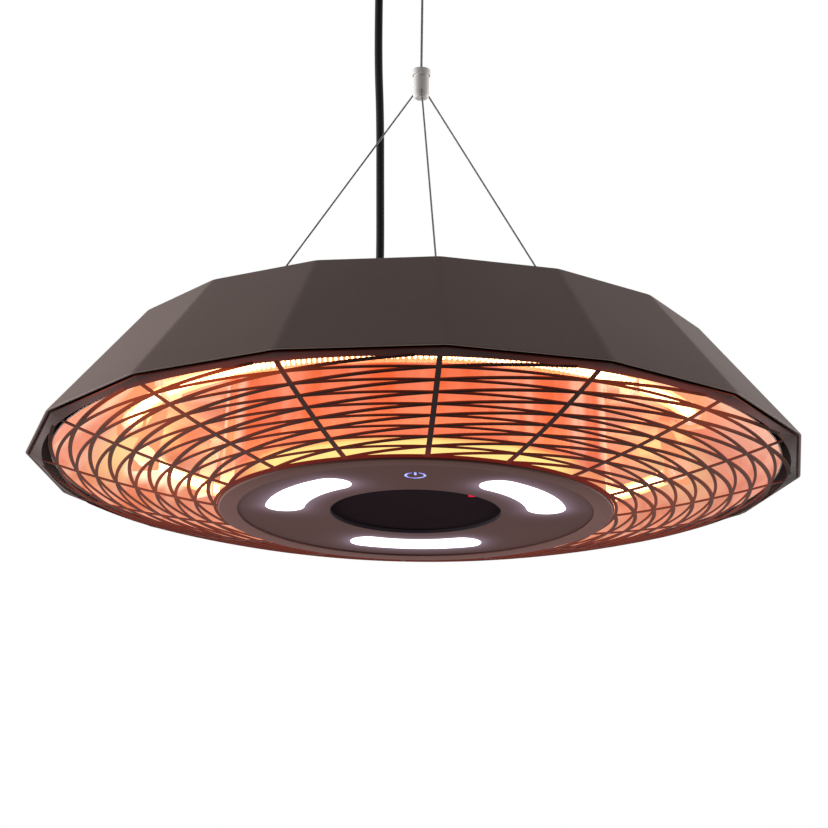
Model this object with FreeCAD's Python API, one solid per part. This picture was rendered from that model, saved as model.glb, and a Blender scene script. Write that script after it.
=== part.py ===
import FreeCAD, Part
import math
import os
from FreeCAD import Vector

# Hanging electric patio heater: a sixteen-sided sheet-metal shade on three leg wires, a main wire and a
# ceiling fitting. Millimetres, +Z up. The model is laid out from the shade's lower edge (height 0, the
# front towards -Y) and moved at the end so that the ceiling is the plane Z = 0.

# Shade
facets = 16
shade_r = 300.0              # lower edge, to the corners
shade_top_r = 224.0          # upper edge, to the corners
shade_h = 90.0
shade_wall = 1.2
hem_w = 2.8                  # turned-in lower edge
support_wall = 2.5
support_margin = 8.0         # support plate to the shade's inner side
support_hole_r = 16.5

# Guard: one domed sheet with spokes, hoops and slanting strips between the hoops
guard_gap = 1.4              # shadow line between hem and guard
guard_wall = 1.0
dome_r = 945.0
guard_drop = 4.7             # lower face of the dome under the rim, at the band's inner edge
guard_clock = -0.7           # spokes turned a little against the facets
band_w = 9.8                 # plain outer band, at the corners
hoops = 9
hoop_inset = 11.8            # band to the middle of the outermost hoop
hoop_margin = 2.6            # lamp unit to the middle of the innermost hoop
hoop_w = 2.4
slant_w = 3.1
spoke_w = 4.0
guard_clear = 2.0            # guard's inner edge to the lamp tub

# Lamp unit under the centre
lamp_r = 151.0
lamp_clock = -4.0            # turned a little against the facets
trim_wall = 1.2
trim_w = 12.1                # trim ring, from its edge to the face
face_lip = 2.3               # trim ring's lip under the face
face_wall = 2.5
trim_h = 1.5                 # trim ring's lower side under its seat on the guard
sleeve_wall = 1.5
sleeve_h = 15.0
tub_wall = 1.2
tub_top = 52.0
tub_flange = 7.5
fit_gap = 0.2
window_r = 65.5
window_sink = 3.0
window_wall = 3.0
window_lap = 4.0
led_inset = 1.7              # light windows inside the middle of the face's ring
led_w = 30.0
led_half = 30.4              # degrees each side, to the ends
led_depth = 6.5
led_lap = 3.0
board_wall = 1.6
icon_r = 8.0
icon_line = 1.7
icon_outset = 2.8            # touch key outside the middle of the face's ring
touch_l = 46.0
touch_w = 24.0
indicator_at = 59.0
indicator_w = 5.0
indicator_h = 0.8
control_l = 120.0
control_w = 90.0
pillar_r = 4.0
pillar_h = 14.0
driver_l = 86.0
driver_w = 42.0
driver_h = 24.0
driver_round = 3.0

# Reflector and heating elements
reflector_wall = 0.8
reflector_gap = 13.5         # lower edge to the middle of the shade's inner sides
reflector_low = -1.0
reflector_step = 4.0         # reflector's roof inside the elements' middle line
reflector_top = 58.0
skirt_gap = 1.5
skirt_seat = 1.5             # skirt's lower edge on the lamp tub's flange
element_r = 220.0
element_z = 18.5
element_half = 73.0          # degrees each side of an element's middle
tube_r = 6.0
tube_sides = 12              # flats round a tube, a coil's bar or an end
tube_wall = 1.1
filament_r = 2.0
cap_r = 8.0
cap_len = 20.0
cap_socket = 8.0
holder_wall = 1.5
holder_w = 22.0
clip_wall = 2.0
clip_w = 17.0
clip_at = 49.0               # degrees from an element's middle
foot_w = 10.0
foot_margin = 3.0            # holders' feet to the reflector's sloping side

# Shielding and electrics inside
shield_level = 70.0
shield_wall = 1.0
shield_margin = 19.0         # heat shield's corners outside the spacers
post_r = 5.0
post_ring = 105.0
spacer_r = 6.0
spacer_margin = 4.4          # spacers to the reflector skirt's flange
box_l = 64.0
box_w = 40.0
box_wall = 2.0
terminal_l = 36.0
terminal_w = 18.0
terminal_h = 5.0

# Cord and its glands
cord_r = 3.25
cord_clear = 0.3
gland_r = 10.5
gland_h = 20.0
gland_stub_r = 8.0
gland_stub = 9.0
gland_x = -30.0
gland_y = 26.0
outlet_x = -34.0
outlet_y = 26.0

# Wires
leg_inset = 21.7             # leg wires inside the middle of the shade's upper edges
leg_bush_r = 6.5
leg_bush_lip = 1.6
leg_stop_r = 2.6
leg_stop_h = 8.0
leg_seat = 8.0               # leg wires' length in the coupler, upright
leg_wire_r = 0.75
main_wire_r = 1.0
wire_clear = 0.06
coupler_low = 305.5
coupler_r = 6.4
coupler_h = 18.5
coupler_cap_r = 7.4
coupler_cap_h = 6.5
leg_exit_r = 3.6
bore_over = 40.0             # a leg wire's bore is cut this far past the shade's top

# Ceiling fitting
ceiling_h = 480.0            # ceiling over the shade's lower edge
plate_r = 32.0
plate_wall = 7.0
screw_span = 44.0
screw_hole_r = 2.6
stud_r = 4.0
stud_head_r = 6.8
stud_head_h = 3.0
run_clear = 0.05
part_clear = 0.35
fork_w = 16.0
fork_d = 14.0
fork_bridge = 5.0
fork_h = 21.5
pin_drop = 15.0              # swing pin under the plate
pin_r = 2.5
eye_r = 7.0
eye_wall = 5.0
shank_r = 2.4
shank_len = 16.0
cup_r = 58.0
cup_wall = 1.2
cup_drop = 54.0              # cup's floor under the ceiling
cup_h = 42.0
cup_round = 5.0
collar_r = 7.0
collar_h = 10.0
bush_r = 8.0
bush_h = 5.0
bush_stub_r = 5.6
bush_stub = 6.0
joint_l = 22.0
joint_w = 14.0
joint_h = 14.0

os.makedirs("parts", exist_ok=True)
nodes = []
UP = Vector(0, 0, 1)


def polar(r, azimuth, z):
    a = math.radians(azimuth)
    return Vector(r * math.sin(a), -r * math.cos(a), z)


def cyl(r, z0, z1, x=0.0, y=0.0):
    return Part.makeCylinder(r, z1 - z0, Vector(x, y, z0))


def rod(p, q, r):
    return Part.makeCylinder(r, (q - p).Length, p, q - p)


def ring(r_out, r_in, z0, z1, x=0.0, y=0.0):
    return cyl(r_out, z0, z1, x, y).cut(cyl(r_in, z0 - 1, z1 + 1, x, y))


def ngon(r, z):
    pts = [polar(r, 360.0 * k / facets, z) for k in range(facets)]
    return Part.makePolygon(pts + pts[:1])


def frustum(r0, z0, r1, z1):
    return Part.makeLoft([ngon(r0, z0), ngon(r1, z1)], True, True)


def prism(r, z0, z1):
    return frustum(r, z0, r, z1)


def turned(profile):
    pts = [Vector(r, 0, z) for r, z in profile]
    face = Part.Face(Part.makePolygon(pts + pts[:1]))
    return face.revolve(Vector(0, 0, 0), UP, 360)


def spun(shape, azimuth):
    out = shape.copy()
    out.rotate(Vector(0, 0, 0), UP, azimuth)
    return out


def hexagon(across, z0, z1, x=0.0, y=0.0):
    r = across / math.sqrt(3)
    pts = [Vector(x + r * math.cos(math.pi / 3 * k), y + r * math.sin(math.pi / 3 * k), z0)
           for k in range(6)]
    return Part.Face(Part.makePolygon(pts + pts[:1])).extrude(Vector(0, 0, z1 - z0))


def block(lx, ly, z0, z1, x=0.0, y=0.0):
    return Part.makeBox(lx, ly, z1 - z0, Vector(x - lx / 2, y - ly / 2, z0))


def arc_slot(r, width, half, z0, z1):
    # ring sector with round ends, its middle towards -Y
    a = math.degrees(width / 2 / r)
    inner, outer = r - width / 2, r + width / 2
    h = half - a
    edges = [Part.Arc(polar(outer, -h, z0), polar(outer, 0, z0), polar(outer, h, z0)).toShape(),
             Part.Arc(polar(outer, h, z0), polar(r, half, z0), polar(inner, h, z0)).toShape(),
             Part.Arc(polar(inner, h, z0), polar(inner, 0, z0), polar(inner, -h, z0)).toShape(),
             Part.Arc(polar(inner, -h, z0), polar(r, -half, z0), polar(outer, -h, z0)).toShape()]
    return Part.Face(Part.Wire(edges)).extrude(Vector(0, 0, z1 - z0))


def holed(wires):
    return Part.makeFace(wires, "Part::FaceMakerBullseye")


def ring_sweep(r, z, half, profile_r, hole_r=0.0):
    # many-sided bar on an arc about the axis, its middle towards -Y
    def loop(size):
        turns = [2 * math.pi * k / tube_sides for k in range(tube_sides)]
        pts = [polar(r + size * math.cos(a), -half, z + size * math.sin(a)) for a in turns]
        return Part.makePolygon(pts + pts[:1])

    face = holed([loop(size) for size in (profile_r, hole_r) if size])
    return face.revolve(Vector(0, 0, 0), UP, 2 * half)


def keep(name, shape):
    if isinstance(shape, list):
        shape = Part.makeCompound(shape)
    nodes.append((name, shape))


# Levels that several pieces share
shade_top = shade_h
shade_under = shade_h - shade_wall
flat = math.cos(math.pi / facets)                       # corner radius to side distance
lean = (shade_r - shade_top_r) * flat / shade_h         # side's run per unit of height
side_run = shade_wall * math.hypot(1, lean) / flat      # wall, measured level at the corners
face_r = lamp_r - trim_w
sleeve_out = face_r + fit_gap + sleeve_wall
tub_in = sleeve_out + fit_gap
tub_r = tub_in + tub_wall
guard_r = shade_r - hem_w - guard_gap
guard_hole_r = tub_r + guard_clear
band_r = guard_r - band_w
hoop_top = band_r - hoop_inset
hoop_step = (hoop_top - lamp_r - hoop_margin) / (hoops - 1)
spoke_step = 360.0 / facets
dome_z = -guard_drop + math.sqrt(dome_r ** 2 - band_r ** 2)
dome_rings = [lamp_r, (lamp_r + guard_r) / 2, guard_r + guard_gap]
support_low = shade_under - support_wall
skirt_top_r = (tub_r + skirt_gap) / flat
skirt_out = skirt_top_r + reflector_wall
spacer_ring = skirt_out + tub_flange + spacer_r + spacer_margin
shield_r = spacer_ring + spacer_r + shield_margin
led_mid_r = (window_r + face_r) / 2 - led_inset
icon_at = (window_r + face_r) / 2 + icon_outset
shield_top = shield_level + shield_wall
plate_low = ceiling_h - plate_wall
pin_z = plate_low - pin_drop
cup_floor = ceiling_h - cup_drop
leg_ring = shade_top_r * flat - leg_inset
leg_azimuths = {"front": 0.0, "right": 120.0, "left": 240.0}
tube_names = {"front": -9.0, "rear": 179.0}


def dome(r):
    return dome_z - math.sqrt(dome_r ** 2 - r ** 2)


def guard_low(r):
    # height of the guard's folded facets at a corner radius r: level inside the dome's first ring
    r = max(r, dome_rings[0])
    inner, outer = dome_rings[:2] if r < dome_rings[1] else dome_rings[1:]
    return dome(inner) + (dome(outer) - dome(inner)) * (r - inner) / (outer - inner)


# Shade: folded sheet, closed on top, with a turned-in lower hem
def shade_in(z):
    return shade_r - (shade_r - shade_top_r) * z / shade_h - side_run


shade = frustum(shade_r, 0, shade_top_r, shade_top)
hollow = frustum(shade_in(shade_wall), shade_wall, shade_in(shade_under), shade_under)
mouth = frustum(shade_r - hem_w, -1, shade_r - hem_w, shade_wall)
shade = shade.cut(hollow).cut(mouth)
shade = shade.cut(cyl(gland_stub_r + fit_gap, 0, shade_top + 1, gland_x, gland_y))

# Support plate under the shade's top, which carries the legs and the reflector
support = prism(shade_in(support_low) - support_margin, support_low, shade_under)
support = support.cut(cyl(gland_stub_r + fit_gap, 0, shade_top, gland_x, gland_y))
for k in range(6):
    p = polar((spacer_ring + post_ring) / 2, 30 + 60 * k, 0)
    support = support.cut(cyl(support_hole_r, 0, shade_top, p.x, p.y))

# Guard: a tall slab with the pattern cut through it, brought onto the dome
def hoop(i):
    return hoop_top - i * hoop_step


def cell(outer, inner, spoke, side, tip):
    # opening on one side of a spoke, between two curves r(azimuth) that meet at the tip
    def on_spoke(curve):
        r = curve(spoke)
        return polar(r, spoke + side * math.degrees(math.asin(spoke_w / 2 / r)), 0)

    steps = [side * tip * f for f in (0.36, 0.7)]
    pts = [on_spoke(outer)]
    pts += [polar(outer(spoke + a), spoke + a, 0) for a in steps]
    pts.append(polar(inner(spoke + side * tip), spoke + side * tip, 0))
    pts += [polar(inner(spoke + a), spoke + a, 0) for a in reversed(steps)]
    pts.append(on_spoke(inner))
    return Part.makePolygon(pts + pts[:1])


def sector_cells(i, start):
    # the two openings between hoop i and the next inner hoop, from the spoke at start to the next spoke, on
    # both sides of a strip that slants from the inner hoop out to hoop i; the band stands for hoop -1
    top = hoop(i) - hoop_w / 2 if i >= 0 else band_r
    low = hoop(i + 1) + hoop_w / 2

    def slant(azimuth):
        return hoop(i + 1) + hoop_step * (azimuth - start) / spoke_step

    upper_tip = spoke_step * (top - slant_w / 2 - hoop(i + 1)) / hoop_step
    lower_tip = spoke_step * (1 - (hoop_w + slant_w) / 2 / hoop_step)
    return [cell(lambda a: top, lambda a: slant(a) + slant_w / 2, start, 1, upper_tip),
            cell(lambda a: min(slant(a) - slant_w / 2, top), lambda a: low, start + spoke_step, -1,
                 lower_tip)]


cells = []
for k in range(facets):
    for i in range(-1, hoops - 1):
        cells += sector_cells(i, guard_clock + k * spoke_step)
slab_low = guard_low(guard_hole_r) - guard_wall
slab_face = holed([ngon(guard_r, 0), Part.Wire([Part.makeCircle(guard_hole_r)])] + cells)
slab_face.translate(Vector(0, 0, slab_low))
slab = slab_face.extrude(Vector(0, 0, guard_low(guard_r) + 2 * guard_wall - slab_low))
bowls = [frustum(a, dome(a), b, dome(b)) for a, b in zip(dome_rings, dome_rings[1:])]
bowl = bowls[0].fuse(bowls[1])
inside = bowl.copy()
inside.translate(Vector(0, 0, guard_wall))
guard = slab.common(bowl.cut(inside))

# Lamp unit: trim ring, face, tub, windows and what is behind them
ring_in = face_r - face_lip
chamfer = trim_wall * 0.8
seat = guard_low(lamp_r) - fit_gap
trim_level = seat - trim_h
face_level = trim_level + trim_wall
trim = turned([(ring_in, trim_level), (lamp_r - chamfer, trim_level), (lamp_r, trim_level + chamfer),
               (lamp_r, seat), (sleeve_out, seat),
               (sleeve_out, face_level + sleeve_h), (face_r + fit_gap, face_level + sleeve_h),
               (face_r + fit_gap, face_level), (ring_in, face_level)])
tub_low = guard_low((tub_r + tub_flange) / flat) + guard_wall + fit_gap
tub = turned([(0, tub_top), (0, tub_top - tub_wall), (tub_in, tub_top - tub_wall), (tub_in, tub_low),
              (tub_r + tub_flange, tub_low), (tub_r + tub_flange, tub_low + tub_wall),
              (tub_r, tub_low + tub_wall), (tub_r, tub_top)])

face_top = face_level + face_wall
face = cyl(face_r, face_level, face_top).cut(cyl(window_r, face_level - 1, face_top + 1))
led_names = {"rear": 180.0, "right": 60.0, "left": -60.0}
for azimuth in led_names.values():
    face = face.cut(spun(arc_slot(led_mid_r, led_w, led_half, face_level - 1, face_top + 1), azimuth))
icon_ring = ring(icon_r, icon_r - icon_line, face_level, face_top, 0, -icon_at)
icon_bar = block(icon_line, icon_r, face_level, face_top, 0, -icon_at - icon_r * 0.6)
icon_gap = block(icon_line * 3, icon_r, face_level - 1, face_top + 1, 0, -icon_at - icon_r)
icon = icon_ring.cut(icon_gap).fuse(icon_bar)
icon_back = cyl(icon_r + 2, face_top, face_top + board_wall, 0, -icon_at)
face = face.cut(icon)
icon = icon.fuse(icon_back).removeSplitter()
touch_board = block(touch_l, touch_w, face_top + board_wall, face_top + 2 * board_wall, 0, -icon_at)

# Smoked centre window on a shallow well behind the face
well_in = window_r - 0.5
sill = face_level + window_sink
well = turned([(well_in, face_top), (window_r + window_lap, face_top),
               (window_r + window_lap, sill + window_wall + trim_wall), (0, sill + window_wall + trim_wall),
               (0, sill + window_wall), (well_in, sill + window_wall)])
window = cyl(well_in - fit_gap, sill, sill + window_wall)
spot = polar(indicator_at, 46, 0)
indicator = block(indicator_w, indicator_w, sill - indicator_h, sill, spot.x, spot.y)

led_front = led_w - 2 * fit_gap
diffusers = {}
for name, azimuth in led_names.items():
    lens = arc_slot(led_mid_r, led_front, led_half - 0.1, face_level - 0.2, face_top)
    lap = arc_slot(led_mid_r, led_front + led_lap, led_half + 1, face_top, face_top + led_depth)
    diffusers[name] = spun(lens.fuse(lap).removeSplitter(), azimuth)
led_low = face_top + led_depth
board = ring(led_mid_r + led_w / 2 + led_lap, led_mid_r - led_w / 2 - led_lap, led_low, led_low + board_wall)

# Control board and lamp driver on the tub's roof
roof = tub_top - tub_wall
control_low = roof - pillar_h
control = block(control_l, control_w, control_low, control_low + board_wall)
pillar_x, pillar_y = control_l / 2 - 2 * pillar_r, control_w / 2 - 2 * pillar_r
pillars = [cyl(pillar_r, control_low + board_wall, roof, x, y)
           for x in (-pillar_x, pillar_x) for y in (-pillar_y, pillar_y)]
driver = block(driver_l, driver_w, control_low - driver_h, control_low)
uprights = [e for e in driver.Edges if abs(e.Vertexes[0].Z - e.Vertexes[1].Z) > driver_h / 2]
driver = driver.makeFillet(driver_round, uprights)
board_posts = [cyl(3.5, led_low + board_wall, roof, p.x, p.y)
               for p in (polar(led_mid_r, a, 0) for a in (0, 120, 240))]

# Reflector: spun dish, and a folded skirt round the lamp tub that hangs by its flange on the dish
reflector_r = shade_in(reflector_low) * flat - reflector_gap
reflector_top_r = element_r - reflector_step


def dish_r(z):
    share = (z - reflector_low) / (reflector_top - reflector_low)
    return reflector_r + (reflector_top_r - reflector_r) * share


dish_under = reflector_top - reflector_wall
dish_side = reflector_wall * 1.5
dish = turned([(0, reflector_top), (reflector_top_r, reflector_top), (reflector_r, reflector_low),
               (reflector_r - dish_side, reflector_low), (dish_r(dish_under) - dish_side, dish_under),
               (0, dish_under)])
dish = dish.cut(prism(skirt_out + fit_gap, dish_under - 1, reflector_top + 1))
skirt_low = tub_low + tub_wall + fit_gap
skirt_low_r = (tub_r + tub_flange) / flat - skirt_seat
skirt_flange = reflector_top + reflector_wall
skirt = frustum(skirt_low_r, skirt_low, skirt_out, dish_under)
skirt = skirt.fuse(prism(skirt_out, dish_under, skirt_flange))
skirt = skirt.fuse(prism(skirt_out + tub_flange, reflector_top, skirt_flange)).removeSplitter()
skirt_bore = frustum(skirt_low_r - reflector_wall, skirt_low, skirt_top_r, dish_under)
skirt = skirt.cut(skirt_bore).cut(prism(skirt_top_r, dish_under, skirt_flange))

# Heating elements: bent quartz tubes with a coil, ceramic ends in sheet holders, and ceramic clips between
foot_r = dish_r(dish_under) - dish_side - foot_margin - foot_w
cap_half = math.degrees(cap_len / element_r) / 2
end_at = element_half + cap_half - math.degrees(cap_socket / element_r)


def hanger(width, wall, bore_r, azimuth):
    # plate with a foot on the reflector's roof and a bore on the element's line
    low, high = element_z - bore_r - 3, element_z + bore_r
    arm = [(element_r - width / 2, low), (element_r + width / 2, low), (element_r + width / 2, high),
           (foot_r + foot_w, dish_under), (foot_r, dish_under), (element_r - width / 2, high)]
    arm = [Vector(-wall / 2, -r, z) for r, z in arm]
    plate = Part.Face(Part.makePolygon(arm + arm[:1])).extrude(Vector(wall, 0, 0))
    plate = plate.fuse(block(foot_w, foot_w, dish_under - wall, dish_under, 0, -foot_r - foot_w / 2))
    plate = plate.removeSplitter()
    plate = plate.cut(Part.makeCylinder(bore_r, 30, Vector(-15, -element_r, element_z), Vector(1, 0, 0)))
    return spun(plate, azimuth)


tubes, filaments, ends, holders, clips = {}, {}, [], [], []
for name, azimuth in tube_names.items():
    tubes[name] = spun(ring_sweep(element_r, element_z, element_half, tube_r, tube_r - tube_wall), azimuth)
    filaments[name] = spun(ring_sweep(element_r, element_z, element_half, filament_r), azimuth)
    socket = spun(ring_sweep(element_r, element_z, element_half, tube_r + fit_gap), azimuth)
    for side in (-1, 1):
        cap = spun(ring_sweep(element_r, element_z, cap_half, cap_r), azimuth + side * end_at)
        ends.append(cap.cut(socket))
        holders.append(hanger(holder_w, holder_wall, cap_r + fit_gap, azimuth + side * end_at))
        clips.append(hanger(clip_w, clip_wall, tube_r + fit_gap, azimuth + side * clip_at))

# Heat shield, spacers and posts between the reflector, the lamp tub and the support plate
shield = prism(shield_r, shield_level, shield_top)
posts, upper, lower = [], [], []
for k in range(3):
    p = polar(post_ring, 60 + 120 * k, 0)
    shield = shield.cut(cyl(post_r + fit_gap, shield_level - 1, shield_top + 1, p.x, p.y))
    posts.append(cyl(post_r, tub_top, support_low, p.x, p.y))
    q = polar(spacer_ring, 60 + 120 * k, 0)
    upper.append(cyl(spacer_r, shield_top, support_low, q.x, q.y))
    lower.append(cyl(spacer_r, reflector_top, shield_level, q.x, q.y))

tub = tub.multiFuse(posts + pillars + board_posts).removeSplitter()

# Junction box on the heat shield, under the gland, with the cord's terminals
box_top = support_low
box = block(box_l, box_w, shield_top, box_top, gland_x, gland_y)
box = box.cut(block(box_l - 2 * box_wall, box_w - 2 * box_wall, shield_top + box_wall, box_top + 1,
                    gland_x, gland_y))
terminal_top = shield_top + box_wall + terminal_h
terminal = block(terminal_l, terminal_w, shield_top + box_wall, terminal_top, gland_x, gland_y)

# Cord gland on the shade
stub_low = shade_top - gland_stub
gland_top = shade_top + gland_h
hex_h = gland_h * 0.35
gland = hexagon(2 * gland_r, shade_top, shade_top + hex_h, gland_x, gland_y)
dome_cap = turned([(0, shade_top + hex_h), (gland_r - 1, shade_top + hex_h),
                   (gland_r - 1, gland_top - 6), (cord_r + 2, gland_top), (0, gland_top)])
dome_cap.translate(Vector(gland_x, gland_y, 0))
gland = gland.fuse(dome_cap).fuse(cyl(gland_stub_r, stub_low, shade_top, gland_x, gland_y)).removeSplitter()
gland = gland.cut(cyl(cord_r + cord_clear, stub_low - 1, gland_top + 1, gland_x, gland_y))
gland_nut = hexagon(2 * gland_r, stub_low, support_low, gland_x, gland_y)
gland_nut = gland_nut.cut(cyl(gland_stub_r + fit_gap, stub_low - 1, support_low + 1, gland_x, gland_y))

# Coupler: turned body with three slanting holes, and a flanged cap on the main wire
coupler_top = coupler_low + coupler_h
cap_top = coupler_top + coupler_cap_h
bevel = coupler_r * 0.25
coupler = turned([(0, coupler_low), (coupler_r - bevel, coupler_low), (coupler_r, coupler_low + bevel),
                  (coupler_r, coupler_top), (0, coupler_top)])
stop_r = coupler_r * 0.45
stop_h = 7.0
coupler = coupler.cut(cyl(stop_r + fit_gap, coupler_top - stop_h - fit_gap, coupler_top + 1))
cap_round = 0.8
coupler_cap = turned([(0, coupler_top), (coupler_r, coupler_top), (coupler_r, coupler_top + 1.2),
                      (coupler_cap_r, coupler_top + 1.2), (coupler_cap_r, cap_top - cap_round),
                      (coupler_cap_r - cap_round, cap_top), (0, cap_top)])
coupler_cap = coupler_cap.cut(cyl(main_wire_r + wire_clear, coupler_top - 1, cap_top + 1))
stop = ring(stop_r, main_wire_r + wire_clear, coupler_top - stop_h, coupler_top)

# Leg wires: each runs through a bushed hole in the shade's top and the support plate to a swaged stop
leg_top = Vector(0, -leg_exit_r, coupler_low + leg_seat)
leg_foot = Vector(0, -leg_ring, shade_top)
along = (leg_foot - leg_top).normalize()
bush_low = support_low - leg_bush_lip
bush_mid = leg_foot + along * ((shade_top - (shade_top + bush_low) / 2) / -along.z)
leg_bush = cyl(leg_bush_r, bush_low, shade_top, 0, bush_mid.y)
leg_bush = leg_bush.fuse(cyl(leg_bush_r + leg_bush_lip, shade_top, shade_top + leg_bush_lip, 0, bush_mid.y))
leg_bush = leg_bush.removeSplitter()
leg_bush = leg_bush.cut(rod(leg_top, leg_foot + along * bore_over, leg_wire_r + wire_clear))
stop_rise = leg_stop_r * math.hypot(along.x, along.y) + part_clear
stop_at = leg_foot + along * ((shade_top - bush_low + stop_rise) / -along.z)
leg_end = stop_at + along * (leg_stop_h - 1)
leg_wire = rod(leg_top, leg_end, leg_wire_r)
leg_stop = rod(stop_at, stop_at + along * leg_stop_h, leg_stop_r)
leg_stop = leg_stop.cut(rod(leg_top, leg_end, leg_wire_r + wire_clear))
for azimuth in leg_azimuths.values():
    coupler = coupler.cut(spun(rod(leg_top, leg_foot, leg_wire_r + wire_clear), azimuth))
    hole = spun(cyl(leg_bush_r + fit_gap, 0, shade_top + 1, 0, bush_mid.y), azimuth)
    shade = shade.cut(hole)
    support = support.cut(hole)

# Ceiling plate with a swivel fork: the fork's stud hangs by its head in the plate
plate = cyl(plate_r, plate_low, ceiling_h)
plate_rims = [e for e in plate.Edges if e.Length > plate_r * 6 and e.Vertexes[0].Z < plate_low + 1]
plate = plate.makeChamfer(1.5, plate_rims)
head_low = ceiling_h - stud_head_h - part_clear
plate = plate.cut(cyl(stud_r + run_clear, plate_low - 1, ceiling_h + 1))
plate = plate.cut(cyl(stud_head_r + part_clear, head_low - part_clear, ceiling_h + 1))
for x in (-screw_span / 2, screw_span / 2):
    plate = plate.cut(cyl(screw_hole_r, plate_low - 1, ceiling_h + 1, x, 0))
fork_top = plate_low - part_clear
fork_low = fork_top - fork_h
fork = block(fork_w, fork_d, fork_low, fork_top)
fork = fork.cut(block(eye_wall + 2 * part_clear, fork_d + 2, fork_low - 1, fork_top - fork_bridge))
fork = fork.fuse(cyl(stud_r, fork_top - 1, head_low + 1))
fork = fork.fuse(cyl(stud_head_r, head_low, head_low + stud_head_h)).removeSplitter()
fork = fork.cut(Part.makeCylinder(pin_r + run_clear, 2 * fork_w, Vector(-fork_w, 0, pin_z), Vector(1, 0, 0)))
pin = Part.makeCylinder(pin_r, fork_w + 5, Vector(-fork_w / 2, 0, pin_z), Vector(1, 0, 0))
pin = pin.fuse(Part.makeCylinder(pin_r * 1.7, 2.5, Vector(-fork_w / 2 - 2.5, 0, pin_z), Vector(1, 0, 0)))
pin = pin.removeSplitter()
clip_x = fork_w / 2 + 1.0
groove = Part.makeCylinder(pin_r * 1.2, 1.0, Vector(clip_x, 0, pin_z), Vector(1, 0, 0))
groove = groove.cut(Part.makeCylinder(pin_r * 0.7, 1.0, Vector(clip_x, 0, pin_z), Vector(1, 0, 0)))
pin = pin.cut(groove)
clip = Part.makeCylinder(pin_r * 1.9, 0.9, Vector(clip_x + 0.05, 0, pin_z), Vector(1, 0, 0))
clip = clip.cut(Part.makeCylinder(pin_r * 0.7 + run_clear, 3, Vector(clip_x - 1, 0, pin_z), Vector(1, 0, 0)))
clip = clip.cut(Part.makeBox(3, pin_r * 1.4, pin_r * 3, Vector(clip_x - 1, -pin_r * 0.7, pin_z - pin_r * 3)))

# Main wire with its swaged eye on the swing pin
eye_end = pin_z - eye_r - shank_len
main_eye = Part.makeCylinder(eye_r, eye_wall, Vector(-eye_wall / 2, 0, pin_z), Vector(1, 0, 0))
main_eye = main_eye.fuse(cyl(shank_r, eye_end, pin_z - eye_r * 0.6)).removeSplitter()
main_eye = main_eye.cut(Part.makeCylinder(pin_r + run_clear, 2 * eye_wall, Vector(-eye_wall, 0, pin_z),
                                          Vector(1, 0, 0)))
wire_top = eye_end + shank_len - 4.0
main_eye = main_eye.cut(cyl(main_wire_r + wire_clear, eye_end - 1, wire_top))
main_wire = cyl(main_wire_r, coupler_top - stop_h, wire_top)

# Canopy cup round the fork, carried on the main wire by a clamping collar
cup_top = cup_floor + cup_h
turns = [math.radians(22.5 * k) for k in range(5)]
outside = [(cup_r - cup_round + cup_round * math.sin(a), cup_floor + cup_round - cup_round * math.cos(a))
           for a in turns]
inner_round = cup_round - cup_wall
inside = [(cup_r - cup_round + inner_round * math.sin(a), cup_floor + cup_round - inner_round * math.cos(a))
          for a in reversed(turns)]
cup = turned([(0, cup_floor)] + outside + [(cup_r, cup_top), (cup_r - cup_wall, cup_top)] + inside
             + [(0, cup_floor + cup_wall)])
cup = cup.cut(cyl(main_wire_r + wire_clear, cup_floor - 1, cup_floor + 5))
collar_low = cup_floor - collar_h
collar = turned([(main_wire_r + wire_clear, collar_low), (collar_r - 2, collar_low),
                 (collar_r, collar_low + 2), (collar_r, cup_floor), (main_wire_r + wire_clear, cup_floor)])
collar = collar.cut(Part.makeCylinder(1.5, 2 * collar_r, Vector(0, 0, collar_low + collar_h / 2),
                                      Vector(1, 0, 0)))

# Cord bushing, nut and terminals in the canopy
bush_top = cup_floor + bush_stub
floor_top = cup_floor + cup_wall
bush = cyl(bush_r, cup_floor - bush_h, cup_floor, outlet_x, outlet_y)
bush = bush.fuse(cyl(bush_stub_r, cup_floor, bush_top, outlet_x, outlet_y)).removeSplitter()
bush = bush.cut(cyl(cord_r + cord_clear, cup_floor - bush_h - 1, bush_top + 1, outlet_x, outlet_y))
cup = cup.cut(cyl(bush_stub_r + fit_gap, cup_floor - 1, floor_top + 1, outlet_x, outlet_y))
bush_nut = hexagon(2 * bush_r, floor_top, bush_top, outlet_x, outlet_y)
bush_nut = bush_nut.cut(cyl(bush_stub_r + fit_gap, floor_top - 1, bush_top + 1, outlet_x, outlet_y))
cup_terminal = block(joint_l, joint_w, bush_top, bush_top + joint_h)
cup_terminal.rotate(Vector(0, 0, 0), UP, 90 + math.degrees(math.atan2(outlet_y, outlet_x)))
cup_terminal.translate(Vector(outlet_x, outlet_y, 0))
socket_top = bush_top + 5.0
cup_terminal = cup_terminal.cut(cyl(cord_r + cord_clear, bush_top - 1, socket_top, outlet_x, outlet_y))

# Cord: straight runs joined by arcs as large as the runs allow, from terminals to terminals
cord_points = [Vector(gland_x, gland_y, terminal_top), Vector(gland_x, gland_y, gland_top + 12.0),
               Vector(gland_x + 0.9, gland_y + 0.3, 178.0), Vector(gland_x - 0.2, gland_y + 0.5, 240.0),
               Vector(gland_x - 1.2, gland_y + 0.3, 300.0), Vector(gland_x - 3.6, gland_y + 0.1, 348.0),
               Vector(outlet_x, outlet_y, cup_floor - bush_h - 12.0), Vector(outlet_x, outlet_y, socket_top)]


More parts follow.
